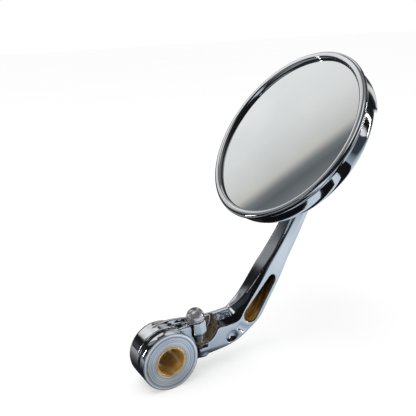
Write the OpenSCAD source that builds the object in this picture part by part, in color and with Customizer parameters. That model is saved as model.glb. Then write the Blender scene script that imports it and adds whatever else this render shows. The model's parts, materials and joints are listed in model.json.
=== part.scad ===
// Bar end mirror for a motorcycle handlebar, left-hand side.
// A hub that fits the end of the bar, a cast arm that clamps on the hub,
// and a round mirror head on a ball stud.
// Millimetres. X runs along the bar towards the rider, Y forwards, Z up.
// The origin is the centre of the bore's mouth.

/* [Hub] */
// radius of the hub's flange
hub_r = 16; // [12:0.5:20]
// thickness of the flange
flange_t = 4.7; // [3:0.1:8]
// radius of the bore that takes the bar's stub
bore_r = 7.3; // [5:0.1:10]
// wall of the brass bush
bush_wall = 1.1; // [0.8:0.1:2]
// depth of the brass bush
bush_len = 11.5; // [8:0.5:14]
// step from the flange's rim down to the journal that the arm turns on
journal_step = 4.1; // [3:0.1:6]
// end of the journal, behind the flange's face
journal_end = 15.5; // [14:0.1:18]
// cross-section of the rubber ring
ring_d = 2.2; // [1.5:0.1:3]

/* [Arm] */
// outboard end of the arm's barrel
barrel_end = 19.6; // [18:0.1:24]
// outboard face of the arm
arm_out = 16; // [12:0.1:18]
// inboard face of the arm
arm_in = 3.7; // [2:0.1:6]
// outboard face of the arm at its tip
tip_out = 13.6; // [10:0.1:16]
// where the arm bends, forwards of the bore
elbow_y = 55.1; // [45:0.1:65]
// where the arm bends, above the bore
elbow_z = 8.1; // [0:0.1:20]
// rise of the upper arm, degrees
arm_rise = 58; // [45:1:75]
// length of the upper arm from the bend
arm_len = 101; // [80:1:120]
// middle of the ball stud, back from the arm's tip
stud_back = 8.3; // [6:0.1:14]
// ball's centre outboard of the bore's mouth
ball_x = 5.3; // [4:0.1:9]
// ball's centre above the arm's face
stud_gap = 10.6; // [9:0.1:16]
// width of the upper arm at the bend
elbow_w = 13.6; // [10:0.1:18]
// width of the upper arm at its tip
tip_w = 7.6; // [5:0.1:10]
// bevel along the arm's edges
bevel = 2.2; // [0.5:0.1:3]
// middle of the drilled dimple, forwards and up
dimple = [40.8, -0.5]; // [-10:0.1:60]
// radius of the drilled dimple
dimple_r = 4; // [2:0.1:5]
// depth of the pocket in the arm
pocket_depth = 9; // [2:0.5:11]
// lower end of the pocket, forwards and up
pocket_low = [53.3, 9.8]; // [0:0.1:90]
// upper end of the pocket, forwards and up
pocket_high = [68.3, 27.9]; // [0:0.1:90]
// radius of the pocket's lower end
pocket_r = 5.2; // [2:0.1:6]
// radius of the pocket's upper end
pocket_tip_r = 2.2; // [1:0.1:4]

/* [Clamp] */
// clamp screw's axis, forwards of the hub's rim
clamp_gap = 6; // [4:0.1:8]
// clamp screw's axis, outboard of the bore's mouth
clamp_x = 9; // [7:0.1:11]
// lean of the clamp screw towards the rider, degrees
clamp_lean = 6; // [0:1:12]
// radius of the clamp's ear
ear_r = 5.4; // [4:0.1:7]
// top of the clamp's ear, below the hub's rim
ear_drop = 1.1; // [0:0.1:4]
// gap of the clamp's slit
slit = 1.4; // [0.8:0.1:2.5]
// inboard reach of the clamp's jaws
jaw_back = 12.6; // [10:0.1:14]
// radius of the hollow round the ear
notch_r = 11; // [8:0.1:14]
// middle of the hollow, back from the clamp screw
notch_shift = 1; // [-3:0.1:4]
// middle of the hollow, below the ear's top
notch_drop = 2.5; // [0:0.1:6]
// thread radius of the clamp screw
clamp_thread_r = 2.5; // [2:0.5:3]

/* [Head] */
// outer radius of the head
head_r = 48.7; // [40:0.1:60]
// lean of the glass from level, degrees
head_lean = 51.66; // [20:0.1:90]
// width of the bezel round the glass
bezel_w = 2.7; // [2:0.1:6]
// how far the bezel's bead stands out past the housing
bezel_lip = 1.4; // [0:0.1:3]
// glass below the bezel's front
glass_in = 2.2; // [1:0.1:4]
// thickness of the mirror glass
glass_t = 2; // [1.5:0.1:4]
// thickness of the backing plate
plate_t = 1; // [0.8:0.1:2]
// thickness of the gasket behind it
gasket_t = 0.8; // [0.5:0.1:2]
// wall of the housing
wall = 2; // [1.5:0.1:4]
// depth of the housing's straight side
side_depth = 8; // [4:0.1:12]
// radius of the housing's shoulder
shoulder_r = 6; // [3:0.1:9]
// depth of the housing's back at the middle
back_depth = 15.5; // [10:0.1:25]
// how far the upper cap and the ribs stand up
relief = 2.6; // [0.5:0.1:4]
// turn of the head about its own axis, degrees
head_turn = 23; // [-90:1:90]

/* [Ball joint] */
// ball's centre behind the front plane
ball_depth = 25.3; // [20:0.1:32]
// ball's centre outboard of the head's middle
ball_side = 5.5; // [0:0.1:12]
// radius of the ball
ball_r = 6; // [4:0.1:8]
// thickness of the liners on the ball
liner_t = 0.95; // [0.6:0.05:2]
// radius of the socket's boss
boss_r = 9.2; // [8:0.1:12]
// radius of the stud's neck
neck_r = 2.2; // [1.5:0.1:3]
// half angle of the socket's mouth, degrees
mouth = 46; // [30:1:55]

/* [Hidden] */
run = 0.05;              // running clearance
slack = 0.2;             // free clearance of screws in holes
$fn = 96;
journal_r = hub_r - journal_step;            // journal that the arm turns on
clamp_y = hub_r + clamp_gap;                 // clamp screw's axis, forwards of the bore
ear_top = hub_r - ear_drop;                  // top of the clamp's ear
notch_y = clamp_y - notch_shift;             // middle of the hollow
notch_z = ear_top - notch_drop;
barrel_in = flange_t + ring_d + run;         // inboard end of the barrel
web_in = journal_end + 0.3;                  // end web of the barrel
web_t = 2;
screw_r = 2.5;                               // retaining screw's thread
washer_t = 1;
head_recess = screw_r * 2.8;                 // recess in the barrel's end
arm_dir = [cos(arm_rise), sin(arm_rise)];    // along the upper arm, in Y and Z
arm_nrm = [-sin(arm_rise), cos(arm_rise)];   // towards the head
elbow = [elbow_y, elbow_z];
stud_along = arm_len - stud_back;            // the stud's place along the upper arm
stud_w = elbow_w + (tip_w - elbow_w) * stud_along / arm_len;
ball_yz = up(stud_along, stud_w / 2 - 0.2 + stud_gap);
ball_pos = [-ball_x, ball_yz[0], ball_yz[1]];
ball_off = -ball_side * [cos(head_turn), sin(head_turn)];   // in the head's front plane
head_pos = ball_pos - [ball_off[0],
    ball_off[1] * cos(head_lean) + ball_depth * sin(head_lean),
    ball_off[1] * sin(head_lean) - ball_depth * cos(head_lean)];
sight_r = head_r - bezel_w;                  // radius of glass that shows
glass_r = sight_r + bezel_w / 6;
glass_back = glass_in + glass_t;
ledge = glass_back + plate_t + gasket_t;     // where the gasket sits
bezel_back = glass_in + glass_t * 0.9;
seat_r = ball_r + run + liner_t + run;       // the socket's own sphere
cup_top = ball_r + 2.2;                      // front cup above the ball's centre
plug_r = boss_r - 1.2;
plug_base = cup_top + 1.25;                  // plug above the ball's centre
tower_top = 5;                               // inner tower above the housing's back
rib_high = back_depth + relief * 0.6;        // depth of the ribs near the middle
rib_low = back_depth - 0.6;                  // and at the rim
rib_w = 4.4;

// a point of the upper arm: s along it, t across it towards the head
function up(s, t) = elbow + s * arm_dir + t * arm_nrm;
// points on an arc
function arc(c, r, a0, a1, n = 16) =
    [for (i = [0:n]) c + r * [cos(a0 + (a1 - a0) * i / n), sin(a0 + (a1 - a0) * i / n)]];

// lays a drawing in the Y-Z plane and gives it thickness from x0 to x1
module along_x(x0, x1) {
    translate([x0, 0, 0]) rotate([90, 0, 90]) linear_extrude(x1 - x0) children();
}
// a cylinder along X
module rod_x(r, x0, x1, y = 0, z = 0) {
    translate([x0, y, z]) rotate([0, 90, 0]) cylinder(h = x1 - x0, r = r);
}
// the head's own frame: Z out of the glass
module in_head() { translate(head_pos) rotate([head_lean, 0, 0]) rotate([0, 0, head_turn]) children(); }
// the socket's frame: the ball's centre, Z out of the glass
module in_socket() { translate(ball_pos) rotate([head_lean, 0, 0]) rotate([0, 0, head_turn]) children(); }
// the stud's frame: the ball's centre, Z towards the arm
module in_stud() { translate(ball_pos) rotate([arm_rise + 180, 0, 0]) children(); }
// the clamp screw's frame: Z up the screw, zero level with the bore
module in_clamp() {
    translate([-clamp_x, clamp_y, 0]) rotate([clamp_lean, 0, 0]) children();
}

// ---- hub ----

module hub_flange() color("#b9bec6") difference() {
    union() {
        rotate([0, -90, 0]) rotate_extrude() polygon([
            [0, 0], [hub_r - 0.5, 0], [hub_r, 0.5], [hub_r, flange_t - 0.4],
            [hub_r - 0.4, flange_t], [journal_r, flange_t], [journal_r, journal_end - 0.5],
            [journal_r - 0.5, journal_end], [0, journal_end]]);
    }
    rod_x(bore_r + bush_wall, -bush_len, 1);
    rod_x(screw_r + run, -journal_end - 1, 0);
}

module bore_bush() color("#b8893f") difference() {
    rod_x(bore_r + bush_wall, -bush_len, 0);
    rod_x(bore_r, -bush_len - 1, 1);
}

module o_ring() color("#151515")
    rotate([0, -90, 0]) translate([0, 0, flange_t + ring_d / 2])
        rotate_extrude() translate([hub_r - 0.7 - ring_d / 2, 0]) circle(d = ring_d);

module thrust_washer() color("#c8cacc") difference() {
    rod_x(head_recess - 0.4, -web_in - web_t - run - washer_t, -web_in - web_t - run);
    rod_x(screw_r + slack, -barrel_end - 2, 0);
}

module retaining_screw() color("#c8cacc") {
    head_x = web_in + web_t + run + washer_t;
    head = screw_r * 1.84;
    high = screw_r * 0.8;
    difference() {
        union() {
            rod_x(screw_r, -head_x, -bush_len - 0.6);
            rotate([0, -90, 0]) translate([0, 0, head_x]) rotate_extrude() polygon([
                [0, 0], [head, 0], [head, high * 0.45], [head * 0.78, high], [0, high]]);
        }
        rotate([0, -90, 0]) translate([0, 0, head_x + high * 0.3]) cylinder(h = high, r = screw_r * 0.7, $fn = 6);
    }
}

// ---- arm ----

// the upper arm's outline, narrowing to its tip
module upper_outline() {
    a = elbow_w / 2;
    b = tip_w / 2;
    polygon([up(-6, -a + 1), up(6, -a), up(arm_len - 1.5, -b), up(arm_len, -b + 1.5),
             up(arm_len, b - 1.5), up(arm_len - 1.5, b), up(2, a), up(-4, a - 3)]);
}
// the lower arm's outline, from the barrel to the bend
module lower_outline() {
    polygon(concat(
        // over the barrel and down to the bend
        hub_r * [[-0.56, 0.88], [-0.3, 1.03], [0, 1.08], [0.44, 1.04], [1.16, 0.9], [1.75, 0.69]],
        [[elbow_y - 19, elbow_z + 1.8], [elbow_y - 10.5, elbow_z + 2.1], up(2, elbow_w / 2),
         up(6, -elbow_w / 2), up(-4, -elbow_w / 2 + 0.4), up(-12, -elbow_w / 2 + 2.6),
         // back along the underside
         [elbow_y - 8, elbow_z - 14.5], [elbow_y - 16, elbow_z - 16.7]],
        hub_r * [[1.38, -0.6], [0, -0.94]]));
}
// a bevel cut along a line of the window face
module edge_cut(p, q, size) {
    d = q - p;
    l = norm(d);
    translate([-arm_in, p[0], p[1]]) rotate([atan2(d[1], d[0]), 0, 0])
        translate([0, l / 2, 0]) rotate([0, 0, 0])
            rotate([0, 45, 0]) cube([size * 1.414, l + 14, size * 1.414], center = true);
}
// the pocket: two round ends and the sides that join them
module pocket_shape() {
    d = pocket_high - pocket_low;
    l = norm(d);
    a = atan2(d[1], d[0]);
    k = asin((pocket_r - pocket_tip_r) / l);
    translate(pocket_low) circle(r = pocket_r);
    translate(pocket_high) circle(r = pocket_tip_r);
    polygon([for (s = [1, -1]) each [
        for (e = (s > 0 ? [0, 1] : [1, 0]))
            (e == 0 ? pocket_low : pocket_high)
            + (e == 0 ? pocket_r : pocket_tip_r) * [cos(a + s * (90 - k)), sin(a + s * (90 - k))]]]);
}

module arm() color("#d9dbde") difference() {
    union() {
        // barrel
        rotate([0, -90, 0]) rotate_extrude() polygon(concat(
            [[0, barrel_in], [hub_r - 0.6, barrel_in], [hub_r, barrel_in + 0.6]],
            arc([hub_r - 2.4, barrel_end - 2.4], 2.4, 0, 90, 8), [[0, barrel_end]]));
        // web from the barrel to the bend
        along_x(-arm_out - 1.6, -jaw_back) intersection() {
            lower_outline();
            translate([-20, -20]) square([40, 60]);
        }
        along_x(-arm_out, -jaw_back) lower_outline();
        difference() {
            along_x(-jaw_back - 1, -arm_in) lower_outline();
            rod_x(hub_r + 3.2, -jaw_back, 0);
            rod_x(notch_r, -jaw_back, 0, notch_y, notch_z);
        }
        // upper arm
        difference() {
            along_x(-arm_out, -arm_in) upper_outline();
            // the outboard face draws in towards the tip
            translate([-arm_out, 0, 0]) rotate([arm_rise, 0, 0])
                translate([0, elbow_y * arm_dir[0] + elbow_z * arm_dir[1] + 12, 0])
                    rotate([0, 0, -atan((arm_out - tip_out) / (arm_len - 12))])
                        translate([-20, 0, -100]) cube([20, 140, 200]);
        }
        // lower jaw
        in_clamp() translate([0, 0, -7.6]) cylinder(h = 7.6 - slit / 2, r = ear_r * 0.85);
        // ear, with eight sides, on a narrower foot
        in_clamp() translate([0, 0, slit / 2]) cylinder(h = ear_top - slit / 2, r = ear_r * 0.65);
        in_clamp() translate([0, 0, ear_top * 0.45]) cylinder(h = ear_top * 0.55, r = ear_r, $fn = 8);
        translate([-jaw_back, 4, slit / 2]) cube([jaw_back - barrel_in, clamp_y - 4, ear_top - slit / 2 - 2]);
        translate([-jaw_back, 8, -8.4]) cube([jaw_back - barrel_in, clamp_y - 8, 8.4 - slit / 2]);
    }
    // bore that turns on the journal
    rod_x(journal_r + run, -web_in, 0);
    rod_x(screw_r + slack + 0.3, -barrel_end - 1, 0);
    rod_x(head_recess, -barrel_end - 1, -web_in - web_t);
    // room for the flange and the rubber ring
    rod_x(hub_r + 0.5, -barrel_in, 1);
    // slit of the clamp
    translate([-jaw_back, 5, -slit / 2]) cube([jaw_back + 1, clamp_y - 2, slit]);
    // gap behind the ear and the jaw
    translate([-jaw_back - 0.8, clamp_y - 6.5, -slit / 2]) cube([0.9, 11, 20]);
    // clamp screw
    in_clamp() cylinder(h = 20, r = clamp_thread_r + slack);
    in_clamp() translate([0, 0, -8]) cylinder(h = 9, r = clamp_thread_r + run);
    // pocket in the window face
    along_x(-arm_in - pocket_depth, 0) pocket_shape();
    // drilled dimple with its cone
    rod_x(dimple_r, -arm_in - dimple_r, 0, dimple[0], dimple[1]);
    translate([-arm_in - dimple_r, dimple[0], dimple[1]]) rotate([0, -90, 0])
        cylinder(h = dimple_r / 2, r1 = dimple_r, r2 = 0);
    // bevels along the window face
    edge_cut(up(4, -elbow_w / 2), up(arm_len, -tip_w / 2), bevel);
    edge_cut(hub_r * [1.12, -0.61], [elbow_y - 8, elbow_z - 14.5], bevel * 2);
    edge_cut([elbow_y - 8, elbow_z - 14.5], up(4, -elbow_w / 2), bevel * 1.4);
    // shallow recess in the outboard face
    along_x(-arm_out - 1, -arm_out + 1.2) polygon([
        [hub_r + 10, elbow_z - 14], [elbow_y - 11, elbow_z - 11.6],
        [elbow_y - 11, elbow_z - 2.6], [hub_r + 10, elbow_z - 2.6]]);
    // seat and thread of the ball stud
    in_stud() translate([0, 0, stud_gap - 4]) cylinder(h = 4, r = clamp_thread_r * 1.9);
    in_stud() translate([0, 0, stud_gap - 1]) cylinder(h = 7.5, r = clamp_thread_r + run);
}

module clamp_screw() color("#c4c7ca") in_clamp() {
    seat = ear_top + washer_t;
    head = clamp_thread_r * 2;
    difference() {
        union() {
            translate([0, 0, -7.2]) cylinder(h = seat + 7.2, r = clamp_thread_r);
            translate([0, 0, seat]) rotate_extrude() polygon(concat(
                [[0, 0], [head, 0]], arc([0, 0.5], head * 0.92, 0, 90, 12)));
        }
        translate([0, 0, seat + head * 0.6]) cylinder(h = head, r = clamp_thread_r * 0.7, $fn = 6);
    }
}

module clamp_washer() color("#c4c7ca") in_clamp() translate([0, 0, ear_top]) difference() {
    cylinder(h = washer_t, r = clamp_thread_r * 1.96);
    translate([0, 0, -1]) cylinder(h = 3, r = clamp_thread_r + slack);
}

module ball_stud() color("#c4c7ca") in_stud() {
    sphere(r = ball_r);
    cylinder(h = stud_gap - 2, r = neck_r);
    translate([0, 0, stud_gap - 2.8]) cylinder(h = 2, r = clamp_thread_r * 1.5, $fn = 6);
    translate([0, 0, stud_gap - 1]) cylinder(h = 7, r = clamp_thread_r);
}

module stud_washer() color("#c4c7ca") in_stud() translate([0, 0, stud_gap - 0.8]) difference() {
    cylinder(h = 0.8, r = clamp_thread_r * 1.6);
    translate([0, 0, -1]) cylinder(h = 3, r = clamp_thread_r + slack);
}

// ---- ball joint ----

module rear_liner() color("#e6e2d6") in_socket() difference() {
    sphere(r = ball_r + run + liner_t);
    sphere(r = ball_r + run);
    translate([0, 0, -(ball_r + run) * cos(78)]) cylinder(h = 20, r = 20);
    translate([0, 0, -20]) cylinder(h = 20 - (ball_r + run) * cos(mouth), r = 20);
}

module front_cup() color("#e6e2d6") in_socket() difference() {
    translate([0, 0, (ball_r + run) * cos(77)]) cylinder(h = cup_top - (ball_r + run) * cos(77), r = seat_r - run);
    sphere(r = ball_r + run);
}

// ---- head ----

// the housing's outer skin, radius and height, from the rim to the middle
function skin(drop) = concat(
    [[head_r, -bezel_back]],
    arc([head_r - shoulder_r, -side_depth - drop * 0.8], shoulder_r, 0, -80, 12),
    [[0, -back_depth - drop]]);

// the raised upper cap, as shares of the head's radius
module cap_area() polygon(head_r * [[-1.2, -0.16], [-0.89, -0.07], [-0.41, 0.18], [0.03, 0.36],
    [0.41, 0.32], [0.89, 0.17], [1.2, 0.08], [1.2, 1.2], [-1.2, 1.2]]);

// a rib on the back: each end has its place and its depth
module rib(a, b, w) hull() for (p = [a, b])
    translate([p[0], p[1], -p[2]]) cylinder(h = 3, r = w / 2, $fn = 24);

module housing() color("#d9dbde") in_head() difference() {
    union() {
        rotate_extrude() polygon(concat([[0, -bezel_back]], skin(0)));
        intersection() {
            rotate_extrude() polygon(concat([[0, -bezel_back]], skin(relief)));
            translate([0, 0, -2 * back_depth]) linear_extrude(2 * back_depth) cap_area();
        }
        rib([-head_r * 0.25, -head_r * 0.16, rib_high], [-head_r * 0.78, -head_r * 0.4, rib_low], rib_w);
        rib([0, -head_r * 0.18, rib_high], [head_r * 0.76, -head_r * 0.51, rib_low], rib_w);
        rib([-ball_side, -boss_r, rib_high], [-ball_side, -head_r * 0.81, rib_low], rib_w * 2.2);
        // boss of the socket, outside and inside
        translate([-ball_side, 0, -ball_depth - seat_r * cos(mouth) - 0.1])
            cylinder(h = ball_depth - back_depth + 5.5, r = boss_r);
        translate([-ball_side, 0, -back_depth + 0.5]) cylinder(h = tower_top - 0.5, r = boss_r + wall);
    }
    // hollow
    difference() {
        rotate_extrude() polygon(concat(
            [[0, -glass_in], [glass_r + run, -glass_in], [glass_r + run, -ledge],
             [glass_r - bezel_w * 0.7, -ledge]],
            arc([head_r - shoulder_r, -side_depth], shoulder_r - wall, -5, -80, 8),
            [[0, -back_depth + wall]]));
        translate([-ball_side, 0, -2 * back_depth]) cylinder(h = back_depth + tower_top, r = boss_r + wall);
    }
    // socket: sphere, bore and thread of the plug
    translate([-ball_side, 0, -ball_depth]) {
        sphere(r = seat_r);
        cylinder(h = cup_top + washer_t * 1.3, r = seat_r);
        translate([0, 0, plug_base]) cylinder(h = back_depth, r = plug_r + run);
        // mouth, wider outwards
        translate([0, 0, -2 * seat_r]) cylinder(h = 2 * seat_r, r1 = 2 * seat_r * tan(mouth), r2 = 0);
    }
}

module spring_washer() color("#a8abad") in_socket() rotate_extrude() polygon([
    [seat_r * 0.48, cup_top + 0.75], [seat_r * 0.94, cup_top],
    [seat_r * 0.94, cup_top + 0.5], [seat_r * 0.48, plug_base]]);

module socket_plug() color("#b0b3b6") in_socket() difference() {
    translate([0, 0, plug_base]) cylinder(h = plug_r * 0.6, r = plug_r);
    translate([0, 0, plug_base + plug_r * 0.25]) cylinder(h = plug_r, r = plug_r / 2, $fn = 6);
    translate([0, 0, cup_top]) cylinder(h = plug_r, r = plug_r * 0.27);
}

module bezel() color("#d9dbde") in_head() rotate_extrude() polygon(concat(
    [[glass_r + run, -bezel_back], [glass_r + run, -glass_in + 0.3], [sight_r, -glass_in + 0.3]],
    arc([sight_r + bezel_w * 0.41, -bezel_w * 0.41], bezel_w * 0.41, 180, 90, 6),
    arc([head_r + bezel_lip - bezel_w * 0.58, -bezel_w * 0.58], bezel_w * 0.58, 90, -50, 10),
    [[head_r, -bezel_back]]));

module mirror_glass() color("#c9cdd2") in_head() translate([0, 0, -glass_back])
    cylinder(h = glass_t, r = glass_r);

module glass_seal() color("#1a1a1a") in_head() translate([0, 0, -glass_in]) difference() {
    cylinder(h = 0.3, r = glass_r);
    translate([0, 0, -1]) cylinder(h = 3, r = sight_r - 0.4);
}

module backing_plate() color("#2a2a2a") in_head() translate([0, 0, -glass_back - plate_t])
    cylinder(h = plate_t, r = glass_r - 0.1);

module glass_gasket() color("#1a1a1a") in_head() translate([0, 0, -ledge]) difference() {
    cylinder(h = gasket_t, r = glass_r - 0.1);
    translate([0, 0, -1]) cylinder(h = 3, r = glass_r - bezel_w * 0.6);
}

hub_flange();
bore_bush();
o_ring();
retaining_screw();
thrust_washer();
arm();
clamp_screw();
clamp_washer();
ball_stud();
stud_washer();
rear_liner();
front_cup();
housing();
bezel();
mirror_glass();
glass_seal();
backing_plate();
glass_gasket();
spring_washer();
socket_plug();
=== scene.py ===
# Bar end mirror: chrome head on a ball stud, cast arm, hub for the bar's end.
# Run in Blender 4.5. Sizes below are in millimetres and are turned to metres by mm.
import json
import math
import bpy
import bmesh
from mathutils import Matrix, Vector


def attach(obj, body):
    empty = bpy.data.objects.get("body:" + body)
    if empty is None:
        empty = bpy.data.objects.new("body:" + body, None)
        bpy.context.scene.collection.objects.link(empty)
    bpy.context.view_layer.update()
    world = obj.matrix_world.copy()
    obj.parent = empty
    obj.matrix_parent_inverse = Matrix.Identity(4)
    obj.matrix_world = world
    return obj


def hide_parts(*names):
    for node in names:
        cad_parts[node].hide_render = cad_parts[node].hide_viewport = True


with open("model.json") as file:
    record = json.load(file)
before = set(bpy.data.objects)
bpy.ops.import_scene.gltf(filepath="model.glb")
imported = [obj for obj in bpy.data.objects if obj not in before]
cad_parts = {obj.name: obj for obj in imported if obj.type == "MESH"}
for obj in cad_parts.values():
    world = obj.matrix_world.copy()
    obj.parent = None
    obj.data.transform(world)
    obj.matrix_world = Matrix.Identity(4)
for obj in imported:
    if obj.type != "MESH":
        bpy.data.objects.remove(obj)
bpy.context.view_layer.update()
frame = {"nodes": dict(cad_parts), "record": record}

mm = 0.001
record = frame["record"]
ballCentre = Vector([j for j in record["behaviour"]["joints"] if j["name"] == "head_turn"][0]["pos_m"])


# ---- places: each turned piece is drawn round its own Z axis, then laid in place ----

headSettings = {
    "lean": 51.66,          # degrees from level
    "turn": 23.0,           # degrees about its own axis
    "ballDepth": 25.3,      # ball's centre behind the front plane
    "ballSide": 5.5,        # and outboard of the head's middle
}
clampSettings = {"across": -9.0, "forward": 22.0, "lean": 6.0, "seat": 14.9}


def headPlace():
    s = headSettings
    spin = Matrix.Rotation(math.radians(s["lean"]), 4, "X") @ Matrix.Rotation(math.radians(s["turn"]), 4, "Z")
    # the ball sits behind the glass, so the middle of the front follows from it
    middle = ballCentre - spin @ Vector((-s["ballSide"] * mm, 0, -s["ballDepth"] * mm))
    return Matrix.Translation(middle) @ spin


inHead = headPlace()
inSocket = Matrix.Translation(ballCentre) @ inHead.to_3x3().to_4x4()
inHub = Matrix.Rotation(math.radians(-90), 4, "Y")
inClamp = (Matrix.Translation((clampSettings["across"] * mm, clampSettings["forward"] * mm, 0))
           @ Matrix.Rotation(math.radians(clampSettings["lean"]), 4, "X"))


# ---- materials ----

def hexColour(code, alpha=1.0):
    parts = [int(code[i:i + 2], 16) / 255 for i in (1, 3, 5)]
    return [p / 12.92 if p <= 0.04045 else ((p + 0.055) / 1.055) ** 2.4 for p in parts] + [alpha]


def addNode(tree, kind, links=(), **settings):
    # settings name an input ("in_Scale") or a property of the node
    node = tree.nodes.new(kind)
    for key, value in settings.items():
        if key.startswith("in_"):
            name = key[3:].replace("_", " ")
            socket = node.inputs[int(name)] if name.isdigit() else node.inputs[name]
            socket.default_value = value
        else:
            setattr(node, key, value)
    for source, target in links:
        tree.links.new(source, node.inputs[target])
    return node


def startMaterial(name):
    material = bpy.data.materials.new(name)
    material.use_nodes = True
    tree = material.node_tree
    tree.nodes.clear()
    shader = addNode(tree, "ShaderNodeBsdfPrincipled")
    addNode(tree, "ShaderNodeOutputMaterial", [(shader.outputs["BSDF"], "Surface")])
    place = addNode(tree, "ShaderNodeTexCoord")
    return material, tree, shader, place


def rampNode(tree, source, stops):
    ramp = addNode(tree, "ShaderNodeValToRGB", [(source, "Fac")])
    while len(ramp.color_ramp.elements) < len(stops):
        ramp.color_ramp.elements.new(0.5)
    for element, (at, colour) in zip(ramp.color_ramp.elements, stops):
        element.position = at
        element.color = hexColour(colour)
    return ramp


def chromePlate(name, wave=0.012, waveSize=9.0, haze=0.05):
    # chrome plate on a polished casting: near-black and white reflections, with the slow
    # waves that a polishing wheel leaves and a faint haze where fingers have been
    material, tree, shader, place = startMaterial(name)
    where = place.outputs["Object"]
    shader.inputs["Metallic"].default_value = 1.0
    smudge = addNode(tree, "ShaderNodeTexNoise", [(where, "Vector")], in_Scale=1000 / 24.0, in_Detail=3.0)
    colour = rampNode(tree, smudge.outputs["Fac"], [(0.3, "#d9dcdf"), (0.7, "#e6e8ea")])
    tree.links.new(colour.outputs["Color"], shader.inputs["Base Color"])
    rough = addNode(tree, "ShaderNodeMapRange", [(smudge.outputs["Fac"], "Value")],
                    in_3=haze * 0.55, in_4=haze * 1.3, in_1=0.3, in_2=0.75)
    tree.links.new(rough.outputs["Result"], shader.inputs["Roughness"])
    swell = addNode(tree, "ShaderNodeTexNoise", [(where, "Vector")], in_Scale=1000 / waveSize, in_Detail=1.0)
    bump = addNode(tree, "ShaderNodeBump", [(swell.outputs["Fac"], "Height")],
                   in_Strength=1.0, in_Distance=wave * mm)
    tree.links.new(bump.outputs["Normal"], shader.inputs["Normal"])
    return material


def turnedAluminium(name):
    # aluminium faced on a lathe: blue-grey, with fine rings round the bore that spread
    # the light, drawn 0.45 mm apart because the real ones are too fine to show
    material, tree, shader, place = startMaterial(name)
    split = addNode(tree, "ShaderNodeSeparateXYZ", [(place.outputs["Object"], "Vector")])
    flat = addNode(tree, "ShaderNodeCombineXYZ", [(split.outputs["Y"], "X"), (split.outputs["Z"], "Y")])
    radius = addNode(tree, "ShaderNodeVectorMath", [(flat.outputs["Vector"], 0)], operation="LENGTH")
    rings = addNode(tree, "ShaderNodeMath", [(radius.outputs["Value"], 0)], operation="MULTIPLY",
                    in_1=2 * math.pi / (0.45 * mm))
    ridge = addNode(tree, "ShaderNodeMath", [(rings.outputs["Value"], 0)], operation="SINE")
    band = addNode(tree, "ShaderNodeTexNoise", [(radius.outputs["Value"], "W")], noise_dimensions="1D",
                   in_Scale=1000 / 1.1, in_Detail=3.0)
    tone = rampNode(tree, band.outputs["Fac"], [(0.34, "#8f9dae"), (0.5, "#d0d9e3"), (0.66, "#ffffff")])
    tree.links.new(tone.outputs["Color"], shader.inputs["Base Color"])
    shader.inputs["Metallic"].default_value = 0.7
    shader.inputs["Roughness"].default_value = 0.42
    # the rings spread the light outwards from the bore, which gives the bright and dark fans
    outwards = addNode(tree, "ShaderNodeCombineXYZ", [(split.outputs["Y"], "Y"), (split.outputs["Z"], "Z")])
    turned = addNode(tree, "ShaderNodeVectorTransform", [(outwards.outputs["Vector"], "Vector")],
                     vector_type="VECTOR", convert_from="OBJECT", convert_to="WORLD")
    unit = addNode(tree, "ShaderNodeVectorMath", [(turned.outputs["Vector"], 0)], operation="NORMALIZE")
    tree.links.new(unit.outputs["Vector"], shader.inputs["Tangent"])
    shader.inputs["Anisotropic"].default_value = 0.92
    height = addNode(tree, "ShaderNodeMath", [(ridge.outputs["Value"], 0), (band.outputs["Fac"], 1)],
                     operation="ADD")
    bump = addNode(tree, "ShaderNodeBump", [(height.outputs["Value"], "Height")],
                   in_Strength=0.4, in_Distance=0.006 * mm)
    tree.links.new(bump.outputs["Normal"], shader.inputs["Normal"])
    return material


def boredBrass(name):
    # brass bored on a lathe: warm gold with faint rings along the bore, browner where oil stays
    material, tree, shader, place = startMaterial(name)
    split = addNode(tree, "ShaderNodeSeparateXYZ", [(place.outputs["Object"], "Vector")])
    stain = addNode(tree, "ShaderNodeTexNoise", [(place.outputs["Object"], "Vector")],
                    in_Scale=1000 / 3.0, in_Detail=4.0)
    tone = rampNode(tree, stain.outputs["Fac"], [(0.3, "#d8a250"), (0.5, "#f2c87c"), (0.7, "#ffe8b4")])
    tree.links.new(tone.outputs["Color"], shader.inputs["Base Color"])
    shader.inputs["Metallic"].default_value = 0.7
    shader.inputs["Roughness"].default_value = 0.26
    feed = addNode(tree, "ShaderNodeMath", [(split.outputs["X"], 0)], operation="MULTIPLY",
                   in_1=2 * math.pi / (0.5 * mm))
    ridge = addNode(tree, "ShaderNodeMath", [(feed.outputs["Value"], 0)], operation="SINE")
    bump = addNode(tree, "ShaderNodeBump", [(ridge.outputs["Value"], "Height")],
                   in_Strength=0.4, in_Distance=0.01 * mm)
    tree.links.new(bump.outputs["Normal"], shader.inputs["Normal"])
    return material


def stainlessSteel(name):
    # stainless steel, turned and tumbled: grey with small soft scratches
    material, tree, shader, place = startMaterial(name)
    grain = addNode(tree, "ShaderNodeTexNoise", [(place.outputs["Object"], "Vector")],
                    in_Scale=1000 / 0.9, in_Detail=4.0)
    tone = rampNode(tree, grain.outputs["Fac"], [(0.3, "#c4c5c6"), (0.7, "#e9e8e6")])
    tree.links.new(tone.outputs["Color"], shader.inputs["Base Color"])
    shader.inputs["Metallic"].default_value = 0.85
    rough = addNode(tree, "ShaderNodeMapRange", [(grain.outputs["Fac"], "Value")], in_3=0.14, in_4=0.28)
    tree.links.new(rough.outputs["Result"], shader.inputs["Roughness"])
    return material


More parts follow.
